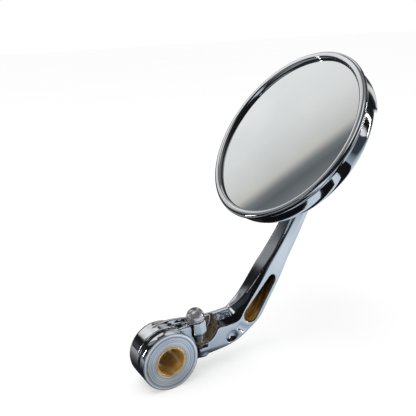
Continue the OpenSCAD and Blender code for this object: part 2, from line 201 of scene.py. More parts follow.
def dullBlack(name, dark, pale, rough, grainSize, depth):
    # moulded black rubber or plastic: a fine grain that breaks the highlight, greyer on its high spots
    material, tree, shader, place = startMaterial(name)
    grain = addNode(tree, "ShaderNodeTexNoise", [(place.outputs["Object"], "Vector")],
                    in_Scale=1000 / grainSize, in_Detail=3.0)
    tone = rampNode(tree, grain.outputs["Fac"], [(0.35, dark), (0.75, pale)])
    tree.links.new(tone.outputs["Color"], shader.inputs["Base Color"])
    shader.inputs["Roughness"].default_value = rough
    bump = addNode(tree, "ShaderNodeBump", [(grain.outputs["Fac"], "Height")],
                   in_Strength=0.5, in_Distance=depth * mm)
    tree.links.new(bump.outputs["Normal"], shader.inputs["Normal"])
    return material


def naturalNylon(name):
    # machined natural nylon: off-white and waxy, light goes a little way in
    material, tree, shader, place = startMaterial(name)
    cloud = addNode(tree, "ShaderNodeTexNoise", [(place.outputs["Object"], "Vector")],
                    in_Scale=1000 / 4.0, in_Detail=2.0)
    tone = rampNode(tree, cloud.outputs["Fac"], [(0.3, "#d8d2c2"), (0.7, "#ebe7db")])
    tree.links.new(tone.outputs["Color"], shader.inputs["Base Color"])
    shader.inputs["Roughness"].default_value = 0.42
    shader.inputs["Subsurface Weight"].default_value = 0.15
    shader.inputs["Subsurface Scale"].default_value = 1.0 * mm
    return material


def silveredGlass(name):
    # back-silvered float glass: a true mirror, very slightly green-grey, with a trace of dust
    material, tree, shader, place = startMaterial(name)
    dust = addNode(tree, "ShaderNodeTexNoise", [(place.outputs["Object"], "Vector")],
                   in_Scale=1000 / 30.0, in_Detail=5.0)
    tone = rampNode(tree, dust.outputs["Fac"], [(0.3, "#dfe3e3"), (0.7, "#e8ebea")])
    tree.links.new(tone.outputs["Color"], shader.inputs["Base Color"])
    shader.inputs["Metallic"].default_value = 1.0
    rough = addNode(tree, "ShaderNodeMapRange", [(dust.outputs["Fac"], "Value")], in_3=0.015, in_4=0.05)
    tree.links.new(rough.outputs["Result"], shader.inputs["Roughness"])
    return material


def thinPlateWithPaintedShade(name, dark, middle, pale, turn):
    # thin plate deep in a casting: the plate doesn't reach there, so it stays brown and gold,
    # with the marks of the cutter along it; painted shade darkens it towards its upper end
    material, tree, shader, place = startMaterial(name)
    stretch = addNode(tree, "ShaderNodeMapping", [(place.outputs["Object"], "Vector")], vector_type="TEXTURE",
                      in_Rotation=(math.radians(turn), 0, 0), in_Scale=(1.6 * mm, 14.0 * mm, 1.6 * mm))
    marks = addNode(tree, "ShaderNodeTexNoise", [(stretch.outputs["Vector"], "Vector")], in_Scale=1.0, in_Detail=4.0)
    split = addNode(tree, "ShaderNodeSeparateXYZ", [(place.outputs["Object"], "Vector")])
    # painted shade: the tone gets darker from 2 mm up to 30 mm
    rise = addNode(tree, "ShaderNodeMapRange", [(split.outputs["Z"], "Value")], in_1=2 * mm, in_2=30 * mm,
                   in_3=0.25, in_4=-0.22)
    both = addNode(tree, "ShaderNodeMath", [(marks.outputs["Fac"], 0), (rise.outputs["Result"], 1)], operation="ADD")
    tone = rampNode(tree, both.outputs["Value"], [(0.34, dark), (0.55, middle), (0.74, pale)])
    tree.links.new(tone.outputs["Color"], shader.inputs["Base Color"])
    shader.inputs["Metallic"].default_value = 0.6
    shader.inputs["Roughness"].default_value = 0.38
    bump = addNode(tree, "ShaderNodeBump", [(marks.outputs["Fac"], "Height")], in_Strength=0.5, in_Distance=0.05 * mm)
    tree.links.new(bump.outputs["Normal"], shader.inputs["Normal"])
    return material


castChrome = chromePlate("CastChromePlate", wave=0.02, waveSize=10.0, haze=0.07)
turnedChrome = chromePlate("TurnedChromePlate", wave=0.003, waveSize=16.0, haze=0.05)
facedAluminium = turnedAluminium("FacedAluminium")
pocketPlateAndShade = thinPlateWithPaintedShade("ThinPlateAndPaintedShadeInPocket", "#2a1c0c", "#8e6d36", "#e0b566", 50)
notchPlateAndShade = thinPlateWithPaintedShade("ThinPlateAndPaintedShadeInNotch", "#2b261d", "#5f5543", "#8a7d62", 0)
brass = boredBrass("BoredBrass")
steel = stainlessSteel("TumbledStainlessSteel")
rubber = dullBlack("NitrileRubber", "#0d0d0e", "#232324", 0.5, 0.6, 0.02)
plastic = dullBlack("MouldedBlackPlastic", "#141415", "#262627", 0.42, 0.5, 0.015)
nylon = naturalNylon("NaturalNylon")
mirrorGlass = silveredGlass("SilveredFloatGlass")
print("materials made")

nodeMaterials = {
    "hub_flange": turnedChrome, "bore_bush": brass, "o_ring": rubber, "retaining_screw": steel,
    "thrust_washer": steel, "arm": castChrome, "clamp_screw": steel, "clamp_washer": steel,
    "ball_stud": steel, "stud_washer": steel, "rear_liner": nylon, "front_cup": nylon,
    "housing": castChrome, "bezel": turnedChrome, "mirror_glass": mirrorGlass, "glass_seal": rubber,
    "backing_plate": plastic, "glass_gasket": rubber, "spring_washer": steel, "socket_plug": steel,
}
for nodeName, material in nodeMaterials.items():
    mesh = frame["nodes"][nodeName].data
    mesh.materials.clear()
    mesh.materials.append(material)


# ---- helpers for pieces ----

def easeStep(t):
    t = min(1.0, max(0.0, t))
    return t * t * (3 - 2 * t)


def finishPiece(bm, name, place, materials, body, nodes=(), creased=35.0):
    bmesh.ops.remove_doubles(bm, verts=bm.verts, dist=0.002 * mm)
    bmesh.ops.recalc_face_normals(bm, faces=bm.faces)
    if place is not None:
        bmesh.ops.transform(bm, matrix=place, verts=bm.verts)
    mesh = bpy.data.meshes.new(name)
    bm.to_mesh(mesh)
    bm.free()
    mesh.shade_smooth()
    mesh.set_sharp_from_angle(angle=math.radians(creased))
    for material in materials:
        mesh.materials.append(material)
    piece = bpy.data.objects.new(name, mesh)
    bpy.context.collection.objects.link(piece)
    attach(piece, body)
    if nodes:
        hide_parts(*nodes)
    return piece


def spinProfile(bm, points, steps, closed):
    # turns a profile of (radius, height) points round Z
    verts = [bm.verts.new((r * mm, 0, h * mm)) for r, h in points]
    edges = [bm.edges.new(pair) for pair in zip(verts, verts[1:])]
    if closed:
        edges.append(bm.edges.new((verts[-1], verts[0])))
    bmesh.ops.spin(bm, geom=verts + edges, cent=(0, 0, 0), axis=(0, 0, 1), dvec=(0, 0, 0),
                   angle=2 * math.pi, steps=steps, use_merge=True, use_duplicate=False)
    bmesh.ops.remove_doubles(bm, verts=bm.verts, dist=0.002 * mm)
    bmesh.ops.recalc_face_normals(bm, faces=bm.faces)


def arcPoints(middle, radius, start, end, count):
    return [(middle[0] + radius * math.cos(math.radians(start + (end - start) * i / count)),
             middle[1] + radius * math.sin(math.radians(start + (end - start) * i / count)))
            for i in range(count + 1)]


# ---- hub ----

hubSettings = {"radius": 16.0, "flange": 4.7, "bore": 8.4, "bushDepth": 11.5, "journal": 11.9,
               "journalEnd": 15.5, "screwHole": 2.55,
               # two shallow grooves that the tool left on the face: radius and depth
               "grooves": [(10.9, 0.0), (11.0, 0.12), (11.25, 0.12), (11.35, 0.0),
                           (13.7, 0.0), (13.8, 0.1), (14.0, 0.1), (14.1, 0.0)]}


def makeHub():
    s = hubSettings
    bm = bmesh.new()
    spinProfile(bm, [(s["screwHole"], s["bushDepth"]), (s["bore"], s["bushDepth"]), (s["bore"], 0.35),
                     (s["bore"] + 0.35, 0.0), *s["grooves"],
                     (s["radius"] - 0.55, 0.0), (s["radius"] - 0.15, 0.16), (s["radius"], 0.55),
                     (s["radius"], s["flange"] - 0.4), (s["radius"] - 0.4, s["flange"]),
                     (s["journal"], s["flange"]), (s["journal"], s["journalEnd"] - 0.5),
                     (s["journal"] - 0.5, s["journalEnd"]), (s["screwHole"], s["journalEnd"])], 192, True)
    for face in bm.faces:
        middle = face.calc_center_median()
        far = math.hypot(middle.x, middle.y)
        if face.normal.z < -0.5 and far < (s["radius"] - 0.3) * mm and middle.z < mm:
            face.material_index = 1
    return finishPiece(bm, "hubBody", inHub, [turnedChrome, facedAluminium], "hub",
                       ["hub_flange"], 40)


bushSettings = {"bore": 7.3, "wall": 1.1, "depth": 11.5}


def makeBush():
    s = bushSettings
    bm = bmesh.new()
    outer = s["bore"] + s["wall"]
    spinProfile(bm, [(s["bore"], s["depth"]), (s["bore"], 0.3), (s["bore"] + 0.3, 0.0),
                     (outer - 0.15, 0.0), (outer, 0.15), (outer, s["depth"])], 160, True)
    return finishPiece(bm, "boreBush", inHub, [brass], "hub", ["bore_bush"], 40)


ringSettings = {"thick": 2.2, "middle": 14.2, "behind": 5.8}


def makeRing():
    s = ringSettings
    bm = bmesh.new()
    spinProfile(bm, arcPoints((s["middle"], s["behind"]), s["thick"] / 2, 0, 360, 24)[:-1], 160, True)
    return finishPiece(bm, "sealRing", inHub, [rubber], "hub", ["o_ring"], 80)


makeHub()
makeBush()
makeRing()
print("hub made")


# ---- arm: one casting, drawn as a loft, then rounded as a polishing wheel leaves it ----

armSettings = {
    "voxel": 0.40, "smooth": 7, "factor": 0.5,
    "window": -3.7,         # inboard face
    # lower arm: inner edge (y, z), outer edge (y, z), outboard face
    "lower": [((-9.0, 13.0), (-9.0, -6.0), -17.4), ((-2.0, 16.6), (2.0, -10.6), -17.2),
              ((10.0, 16.2), (12.0, -10.4), -16.6), ((19.0, 14.3), (20.0, -9.8), -16.2),
              ((28.0, 11.8), (30.0, -9.2), -16.0, 0.08), ((36.0, 10.4), (40.0, -8.4), -16.0, 0.14),
              ((42.0, 10.7), (48.0, -5.9), -16.0, 0.16), ((44.8, 11.6), (53.6, -2.2), -16.0, 0.13)],
    # upper arm: along it, then across it: right and left edge of the window face, ridge (across, deep),
    # inner side at the back, right side, outboard face
    "upper": [(-0.5, -3.3, 8.4, 12.2, -7.0, 12.6, -6.3, -16.0), (5.0, -3.4, 8.0, 10.4, -5.6, 10.2, -6.5, -16.0),
              (12.0, -3.8, 7.2, 8.9, -3.8, 8.9, -6.6, -15.8), (21.0, -4.2, 5.6, 8.0, -1.6, 8.2, -7.0, -15.6),
              (29.0, -3.9, 4.6, 7.2, -0.9, 7.4, -7.2, -15.4), (36.0, -3.0, 4.0, 6.0, -0.7, 6.1, -6.3, -15.2),
              (43.0, -2.6, 4.0, 5.0, -0.8, 5.3, -6.6, -15.0), (53.0, -2.2, 3.5, 4.4, -1.2, 4.4, -6.5, -14.7),
              (66.0, -2.0, 3.1, 4.2, -1.5, 4.2, -6.1, -14.4), (84.0, -1.8, 2.7, 3.9, -1.5, 3.9, -5.0, -14.0),
              (98.0, -1.6, 2.4, 3.7, -1.5, 3.7, -4.0, -13.7), (101.0, -1.0, 1.4, 2.4, -1.7, 2.4, -2.4, -13.5)],
    "elbow": (55.1, 8.1), "rise": 58.0,
    "barrel": 16.0, "barrelIn": 6.95, "barrelEnd": 19.6,
    "ear": 5.4, "earTop": 14.9, "slit": 1.4, "jawBack": 12.6,
    "pocketLow": (53.3, 9.8), "pocketHigh": (68.3, 27.9), "pocketRadii": (4.5, 2.3), "pocketDepth": 9.0,
    "dimple": (40.8, -0.5), "dimpleRadius": 3.7, "dimpleRim": 5.0,
    "groove": ((45.0, 5.0), (49.6, 1.3), (57.5, 1.0)), "grooveRadius": 3.0, "grooveDepth": 1.3,
    "notch": (21.0, 12.4), "notchRadius": 11.0, "flangeRoom": 3.2, "flangeGap": 0.5,
    "earStem": 3.4, "earFoot": 8.0, "jaw": 4.4, "jawLow": -7.4, "jawBlockLow": -8.4,
    "journalBore": 11.95, "webIn": 15.8, "screwHole": 3.0, "headRecess": 7.0, "webOut": 17.8, "clampHole": 2.65,
}


def looseObject(bm, name):
    mesh = bpy.data.meshes.new(name)
    bmesh.ops.recalc_face_normals(bm, faces=bm.faces)
    bm.to_mesh(mesh)
    bm.free()
    loose = bpy.data.objects.new(name, mesh)
    bpy.context.collection.objects.link(loose)
    return loose


def settle(loose):
    # turns what the modifiers make into the object's own mesh
    bpy.context.view_layer.update()
    made = bpy.data.meshes.new_from_object(loose.evaluated_get(bpy.context.evaluated_depsgraph_get()))
    loose.modifiers.clear()
    loose.data = made
    return loose


def combine(loose, other, how, solver="MANIFOLD"):
    step = loose.modifiers.new(how, "BOOLEAN")
    step.operation, step.object, step.solver = how, other, solver
    settle(loose)
    bpy.data.objects.remove(other)
    return loose


def rodAlongX(name, radius, low, high, y, z, segments=96, tip=None):
    # a round bar from x = low to x = high, where tip is its radius at the low end
    bm = bmesh.new()
    place = Matrix.Translation(((low + high) / 2 * mm, y * mm, z * mm)) @ Matrix.Rotation(math.radians(90), 4, "Y")
    bmesh.ops.create_cone(bm, cap_ends=True, segments=segments, radius1=(radius if tip is None else tip) * mm,
                          radius2=radius * mm, depth=(high - low) * mm, matrix=place)
    return looseObject(bm, name)


def rodUpClamp(name, radius, low, high, segments=64, topRadius=None):
    bm = bmesh.new()
    bmesh.ops.create_cone(bm, cap_ends=True, segments=segments, radius1=radius * mm,
                          radius2=(radius if topRadius is None else topRadius) * mm, depth=(high - low) * mm,
                          matrix=inClamp @ Matrix.Translation((0, 0, (low + high) / 2 * mm)))
    return looseObject(bm, name)


def blockFromTo(name, low, high):
    bm = bmesh.new()
    size = [(h - l) * mm for l, h in zip(low, high)]
    middle = [(h + l) / 2 * mm for l, h in zip(low, high)]
    bmesh.ops.create_cube(bm, size=1, matrix=Matrix.Translation(middle) @ Matrix.Diagonal((*size, 1)))
    return looseObject(bm, name)


def voxelSkin(loose, size):
    step = loose.modifiers.new("skin", "REMESH")
    step.mode, step.voxel_size, step.use_smooth_shade = "VOXEL", size * mm, True
    return settle(loose)


def armLoft(s):
    # a ring round the arm's section, pulled from station to station
    lowerRing = [(0.29, 0.0), (0.55, 0.0), (0.84, 0.0), (0.95, -3.5), (1.02, -8.0), (1.01, -10.3),
                 (0.98, -11.6), (0.90, -12.3), (0.10, -12.3), (0.0, -11.6), (0.05, -6.5), (0.11, -2.5)]
    rise = math.radians(s["rise"])
    bm = bmesh.new()

    def ringPoints(station):
        if len(station) < 5:
            inner, outer, back = station[:3]
            crown = station[3] if len(station) == 4 else 0
            deep = (s["window"] - back) / 12.3
            shares = [(t + crown * easeStep(-x / 10) * (1 if t > 0.85 else 0), x) for t, x in lowerRing]
            return [(s["window"] + x * deep, outer[0] + (inner[0] - outer[0]) * t,
                     outer[1] + (inner[1] - outer[1]) * t) for t, x in shares]
        along, right, left, ridge, ridgeDeep, inner, side, back = station
        far = back - s["window"]
        section = [(right, 0), ((right + left) / 2, 0), (left, 0), ((left + ridge) / 2 + 0.15, ridgeDeep * 0.5),
                   (ridge, ridgeDeep), ((ridge + inner) / 2, (ridgeDeep + far) / 2), (inner, far + 1.3),
                   (inner - 1.3, far), (side + 1.4, far), (side, far + 1.4), (side, -4.6), (side + 0.35, -1.5)]
        return [(s["window"] + x, s["elbow"][0] + along * math.cos(rise) - t * math.sin(rise),
                 s["elbow"][1] + along * math.sin(rise) + t * math.cos(rise)) for t, x in section]

    def placeRing(verts, station):
        for vert, point in zip(verts, ringPoints(station)):
            vert.co = Vector(point) * mm

    stations = s["lower"] + s["upper"]
    start = bmesh.ops.create_circle(bm, cap_ends=True, segments=len(lowerRing), radius=mm)["verts"]
    placeRing(start, stations[0])
    edges = [bm.edges.get((start[i], start[(i + 1) % len(start)])) for i in range(len(start))]
    current = start
    rings = [start]
    for station in stations[1:]:
        grown = bmesh.ops.extrude_edge_only(bm, edges=edges)["geom"]
        newVerts = {v for v in grown if isinstance(v, bmesh.types.BMVert)}
        # each new vertex hangs on the old one that it was pulled from
        pulled = [next(e.other_vert(old) for e in old.link_edges if e.other_vert(old) in newVerts)
                  for old in current]
        placeRing(pulled, station)
        current = pulled
        rings.append(pulled)
        edges = [bm.edges.get((pulled[i], pulled[(i + 1) % len(pulled)])) for i in range(len(pulled))]
    bmesh.ops.edgeloop_fill(bm, edges=edges)
    # the lines along the arm and round its tip stay firm under the subdivision
    creases = bm.edges.layers.float.new("crease_edge")
    for ringNow, ringNext in zip(rings, rings[1:]):
        for a, b in zip(ringNow, ringNext):
            bm.edges.get((a, b))[creases] = 1.0
    for last in (rings[0], rings[-1]):
        for i, a in enumerate(last):
            bm.edges.get((a, last[(i + 1) % len(last)]))[creases] = 1.0
    loft = looseObject(bm, "armLoft")
    step = loft.modifiers.new("round", "SUBSURF")
    step.levels = step.render_levels = 3
    return settle(loft)


def inPocket(y, z, s, grow):
    (y0, z0), (y1, z1) = s["pocketLow"], s["pocketHigh"]
    dy, dz = y1 - y0, z1 - z0
    t = max(0.0, min(1.0, ((y - y0) * dy + (z - z0) * dz) / (dy * dy + dz * dz)))
    low, high = s["pocketRadii"]
    return math.hypot(y - y0 - dy * t, z - z0 - dz * t) < low + (high - low) * t + grow


def pocketCutter(s):
    # two round ends joined by straight sides
    (y0, z0), (y1, z1) = s["pocketLow"], s["pocketHigh"]
    bm = bmesh.new()
    for (y, z), radius in zip((s["pocketLow"], s["pocketHigh"]), s["pocketRadii"]):
        for x in (2.0, s["window"] - s["pocketDepth"]):
            bmesh.ops.create_circle(bm, segments=48, radius=radius * mm,
                                    matrix=Matrix.Translation((x * mm, y * mm, z * mm))
                                    @ Matrix.Rotation(math.radians(90), 4, "Y"))
    bmesh.ops.convex_hull(bm, input=bm.verts)
    return looseObject(bm, "pocket")


def makeArm():
    s = armSettings
    arm = armLoft(s)
    combine(arm, rodAlongX("flangeRoom", s["barrel"] + s["flangeRoom"], -s["jawBack"], 3, 0, 0), "DIFFERENCE")
    combine(arm, rodAlongX("notch", s["notchRadius"], -s["jawBack"], 3, *s["notch"]), "DIFFERENCE")
    # barrel, ear and jaw
    bm = bmesh.new()
    spinProfile(bm, [(0, s["barrelIn"]), (s["barrel"] - 0.6, s["barrelIn"]), (s["barrel"], s["barrelIn"] + 0.6)]
                + arcPoints((s["barrel"] - 2.4, s["barrelEnd"] - 2.4), 2.4, 0, 90, 8) + [(0, s["barrelEnd"])],
                128, False)
    bmesh.ops.transform(bm, matrix=inHub, verts=bm.verts)
    combine(arm, looseObject(bm, "barrel"), "UNION")
    combine(arm, rodUpClamp("earStem", s["earStem"], s["slit"] / 2, s["earFoot"], 8, s["ear"]), "UNION")
    combine(arm, rodUpClamp("ear", s["ear"] + 0.3, s["earFoot"] - 0.5, s["earTop"], 8, s["ear"]), "UNION")
    combine(arm, blockFromTo("earBlock", (-s["jawBack"], 4, s["slit"] / 2),
                             (-s["barrelIn"], clampSettings["forward"], s["earTop"] - 2)), "UNION")
    combine(arm, rodUpClamp("jaw", s["jaw"], s["jawLow"], -s["slit"] / 2), "UNION")
    combine(arm, blockFromTo("jawBlock", (-s["jawBack"], 8, s["jawBlockLow"]),
                             (-s["barrelIn"], clampSettings["forward"], -s["slit"] / 2)), "UNION")
    # holes
    combine(arm, rodAlongX("journal", s["journalBore"], -s["webIn"], 1, 0, 0, 128), "DIFFERENCE")
    combine(arm, rodAlongX("screwHole", s["screwHole"], -22, 1, 0, 0, 48), "DIFFERENCE")
    combine(arm, rodAlongX("headRecess", s["headRecess"], -22, -s["webOut"], 0, 0), "DIFFERENCE")
    combine(arm, rodAlongX("flangeGap", s["barrel"] + s["flangeGap"], -s["barrelIn"], 3, 0, 0, 128), "DIFFERENCE")
    combine(arm, blockFromTo("slit", (-s["jawBack"], 5, -s["slit"] / 2),
                             (1, clampSettings["forward"] + 2.5, s["slit"] / 2)), "DIFFERENCE")
    combine(arm, rodUpClamp("clampHole", s["clampHole"], -8, 20, 48), "DIFFERENCE")
    combine(arm, pocketCutter(s), "DIFFERENCE")
    # dimple: a round-bottomed recess with a wide soft rim
    bm = bmesh.new()
    bmesh.ops.create_uvsphere(bm, u_segments=48, v_segments=32, radius=s["dimpleRadius"] * mm,
                              matrix=Matrix.Translation((s["window"] * mm, s["dimple"][0] * mm, s["dimple"][1] * mm)))
    combine(arm, looseObject(bm, "dimple"), "DIFFERENCE")
    combine(arm, rodAlongX("dimpleRim", s["dimpleRim"] + 1.5, s["window"] - 1.4, s["window"] + 1.4,
                           *s["dimple"], 64, s["dimpleRadius"] - 0.6), "DIFFERENCE")
    # groove across the window face below the pocket
    for (y0, z0), (y1, z1) in zip(s["groove"], s["groove"][1:]):
        long = math.hypot(y1 - y0, z1 - z0)
        bm = bmesh.new()
        bmesh.ops.create_cone(bm, cap_ends=True, segments=48, radius1=s["grooveRadius"] * mm,
                              radius2=s["grooveRadius"] * mm, depth=(long + 1.0) * mm,
                              matrix=Matrix.Translation(((s["window"] + s["grooveRadius"] - s["grooveDepth"]) * mm,
                                                         (y0 + y1) / 2 * mm, (z0 + z1) / 2 * mm))
                              @ Matrix.Rotation(math.atan2(z1 - z0, y1 - y0) - math.pi / 2, 4, "X"))
        combine(arm, looseObject(bm, "groove"), "DIFFERENCE")
    voxelSkin(arm, s["voxel"])
    bm = bmesh.new()
    bm.from_mesh(arm.data)
    bpy.data.objects.remove(arm)
    for _ in range(s["smooth"]):
        bmesh.ops.smooth_vert(bm, verts=bm.verts, factor=s["factor"],
                              use_axis_x=True, use_axis_y=True, use_axis_z=True)
    # faces in the pocket and on the notch wall take the thin-plate tones with painted shade
    for face in bm.faces:
        x, y, z = (v / mm for v in face.calc_center_median())
        if -s["pocketDepth"] - 0.8 < x - s["window"] < -0.9 and inPocket(y, z, s, 0.35):
            face.material_index = 1
        elif -s["jawBack"] - 0.3 < x < s["window"] - 0.7 and y > 17 and (y > 26 or z < 5) \
                and abs(math.hypot(y - s["notch"][0], z - s["notch"][1]) - s["notchRadius"]) < 0.7:
            face.material_index = 2
    return finishPiece(bm, "castArm", None, [castChrome, pocketPlateAndShade, notchPlateAndShade], "arm", ["arm"], 180)


makeArm()
print("arm made")


# ---- screws and washers ----

clampScrewSettings = {"thread": 2.5, "head": 5.0, "socket": 3.0, "socketFloor": 3.2, "end": -7.2,
                      "washer": 1.0, "washerInner": 2.7, "washerOuter": 4.9}


def makeClampScrew():
    s = clampScrewSettings
    seat = clampSettings["seat"] + s["washer"]
    bm = bmesh.new()
    dome = [(r, seat + h) for r, h in arcPoints((0, 0.6), s["head"], 0, 90, 16)]
    spinProfile(bm, [(0, s["end"]), (s["thread"] - 0.5, s["end"]), (s["thread"], s["end"] + 0.5),
                     (s["thread"], seat),
                     (s["head"] - 0.2, seat), (s["head"], seat + 0.2)] + dome[1:], 96, False)
    piece = finishPiece(bm, "clampScrew", inClamp, [steel], "arm", ["clamp_screw"], 40)
    # hexagon socket in the dome
    across = s["socket"] / math.sqrt(3)
    return combine(piece, rodUpClamp("socket", across, seat + s["socketFloor"], seat + 8, 6), "DIFFERENCE", "EXACT")


def makeWasher(name, place, low, thick, inner, outer, body, node):
    bm = bmesh.new()
    edge = thick * 0.22
    spinProfile(bm, [(inner, low), (outer - edge, low), (outer, low + edge), (outer, low + thick - edge),
                     (outer - edge, low + thick), (inner + edge, low + thick), (inner, low + thick - edge)],
                96, True)
    return finishPiece(bm, name, place, [steel], body, [node], 50)


makeClampScrew()
makeWasher("clampWasher", inClamp, clampSettings["seat"], clampScrewSettings["washer"],
           clampScrewSettings["washerInner"], clampScrewSettings["washerOuter"], "arm", "clamp_washer")
print("clamp screw made")


# ---- head ----

housingSettings = {
    "radius": 48.7, "front": 4.0, "side": 8.0, "shoulder": 6.0, "depth": 15.5, "relief": 2.6,
    "wall": 2.0, "glassRadius": 46.5, "ledge": 6.0, "ledgeWidth": 2.0,
    "steps": 360,
    # rib's flanks: where they start and how wide they run, as shares of its width, and how deep
    "flank": (0.32, 0.42, 3.2),
    "cap": [(-1.2, -0.16), (-0.89, -0.07), (-0.41, 0.18), (0.03, 0.36), (0.41, 0.32), (0.89, 0.17), (1.2, 0.08)],
    # each rib: its two ends across and up, the depths there, and its width
    "ribs": [((-12.2, -7.8), (-38.0, -19.5), 17.06, 14.9, 4.4), ((0.0, -8.8), (37.0, -24.8), 17.06, 14.9, 4.4),
             ((-5.5, -9.2), (-5.5, -39.4), 17.06, 14.9, 9.7)],
}


def capAmount(u, v, s, soft):
    # 1 on the raised upper cap, 0 below it, with a rounded lip between
    line = [(a * s["radius"], b * s["radius"]) for a, b in s["cap"]]
    for (u0, v0), (u1, v1) in zip(line, line[1:]):
        if u0 <= u <= u1:
            t = (u - u0) / (u1 - u0)
            edge = v0 + (v1 - v0) * t
            slope = math.hypot(1, (v1 - v0) / (u1 - u0))
            return easeStep((v - edge) / slope / soft + 0.5)
    return 0.0


def ribDepth(u, v, rib, flank):
    start, wide, deep = flank
    (u0, v0), (u1, v1), high, low, width = rib
    du, dv = u1 - u0, v1 - v0
    along = max(0.0, min(1.0, ((u - u0) * du + (v - v0) * dv) / (du * du + dv * dv)))
    gap = math.hypot(u - u0 - du * along, v - v0 - dv * along)
    top = high + (low - high) * along
    # rounded flanks that run out into the panel
    return top - deep * easeStep((gap - width * start) / (width * wide))


def makeHousing():
    s = housingSettings
    bm = bmesh.new()
    outer = [(s["radius"], -s["front"]), (s["radius"], -s["front"] - 2.0), (s["radius"], -s["side"])]
    shoulder = arcPoints((s["radius"] - s["shoulder"], -s["side"]), s["shoulder"], 0, -80, 16)[1:]
    endR, endH = shoulder[-1]
    rings = 90
    panel = [(endR * (1 - i / rings), endH + (-s["depth"] - endH) * i / rings) for i in range(1, rings + 1)]
    inner = [(0, -s["depth"] + s["wall"])] + list(reversed(
        arcPoints((s["radius"] - s["shoulder"], -s["side"]), s["shoulder"] - s["wall"], -5, -80, 10)))
    inner += [(s["glassRadius"] - s["ledgeWidth"], -s["ledge"]), (s["glassRadius"], -s["ledge"]),
              (s["glassRadius"], -s["front"])]
    spinProfile(bm, outer + shoulder + panel + inner, s["steps"], True)
    # raise the cap and the ribs out of the plain dish
    edgeR = s["radius"] - s["shoulder"]
    for vert in bm.verts:
        u, v, h = vert.co.x / mm, vert.co.y / mm, -vert.co.z / mm
        r = math.hypot(u, v)
        outside = h > s["side"] - 0.01 and (r > edgeR + s["shoulder"] - s["wall"] - 0.5 or h > s["depth"] - 1.6)
        if not outside:
            continue
        base = h
        if r > edgeR:
            t = math.sqrt(max(0.0, s["shoulder"] ** 2 - (r - edgeR) ** 2))
            if abs(h - s["side"] - t) > 0.2 and r < s["radius"] - 0.02:
                continue
        cap = capAmount(u, v, s, 1.6) * s["relief"]
        # the flank only moves by the share of the shoulder that it has left
        share = easeStep((h - s["side"] + 1.0) / 4.0)
        depth = base + cap * (0.8 + 0.2 * share) * (1.0 if h > s["side"] + 0.01 else 0.0)
        if r < edgeR + 1.5:
            for rib in s["ribs"]:
                depth = max(depth, ribDepth(u, v, rib, s["flank"]))
        vert.co.z = -depth * mm
    return finishPiece(bm, "castHousing", inHead, [castChrome], "head", ["housing"], 60)


bossSettings = {"radius": 9.2, "mouth": 5.2, "face": 5.0, "seat": 7.05, "seatEnd": 9.4, "bore": 8.05,
                "foot": 1.8, "end": 14.6}


def makeBoss():
    s = bossSettings
    bm = bmesh.new()
    # ball socket's boss: turned inside, cast outside, wider where it meets the back
    face, radius, foot = s["face"], s["radius"], s["radius"] + s["foot"]
    spinProfile(bm, [(s["mouth"], -face), (radius - 0.9, -face), (radius - 0.25, -face + 0.25),
                     (radius, -face + 0.9), (radius, 8.2), (radius + 0.5, 9.0), (foot, 9.9), (foot, s["end"]),
                     (s["bore"], s["end"]), (s["bore"], s["seatEnd"]), (s["seat"], s["seatEnd"]), (s["seat"], 0.0)]
                + arcPoints((0, 0), s["seat"], -6, -44, 8), 128, True)
    return finishPiece(bm, "socketBoss", inSocket, [turnedChrome], "head", [], 40)


bezelSettings = {"outer": 48.7, "lip": 1.4, "sight": 46.0, "glass": 46.5, "back": 4.0, "glassIn": 1.9, "width": 2.7}


def makeBezel():
    s = bezelSettings
    bm = bmesh.new()
    small, large = s["width"] * 0.41, s["width"] * 0.58
    spinProfile(bm, [(s["glass"], -s["back"]), (s["glass"], -s["glassIn"]), (s["sight"], -s["glassIn"])]
                + arcPoints((s["sight"] + small, -small), small, 180, 90, 8)
                + arcPoints((s["outer"] + s["lip"] - large, -large), large, 90, -50, 16)
                + [(s["outer"], -s["back"] + 0.35), (s["outer"], -s["back"])], 360, True)
    return finishPiece(bm, "bezelRing", inHead, [turnedChrome], "head", ["bezel"], 50)


glassSettings = {"radius": 46.42, "front": 2.2, "thick": 2.0, "edge": 0.3}


def makeGlass():
    s = glassSettings
    bm = bmesh.new()
    spinProfile(bm, [(0, -s["front"]), (s["radius"] - s["edge"], -s["front"]),
                     (s["radius"], -s["front"] - s["edge"]), (s["radius"], -s["front"] - s["thick"]),
                     (0, -s["front"] - s["thick"])], 256, False)
    return finishPiece(bm, "mirrorGlass", inHead, [mirrorGlass], "head", ["mirror_glass"], 20)


makeHousing()
makeBoss()
makeBezel()
makeGlass()
print("head made")


# ---- stage: floor, cards and lamps ----

def plainEmission(name, colour, strength):
    material = bpy.data.materials.new(name)
    material.use_nodes = True
    tree = material.node_tree
    tree.nodes.clear()
    glow = addNode(tree, "ShaderNodeEmission", in_Color=hexColour(colour), in_Strength=strength)
    addNode(tree, "ShaderNodeOutputMaterial", [(glow.outputs["Emission"], "Surface")])
    return material


# half its width and the way that counts as ahead, in metres; its height in millimetres
floorSettings = {"half": 6.0, "height": -16.05, "ahead": (0.77, 0.64, 0), "from": -0.35, "to": 0.9}


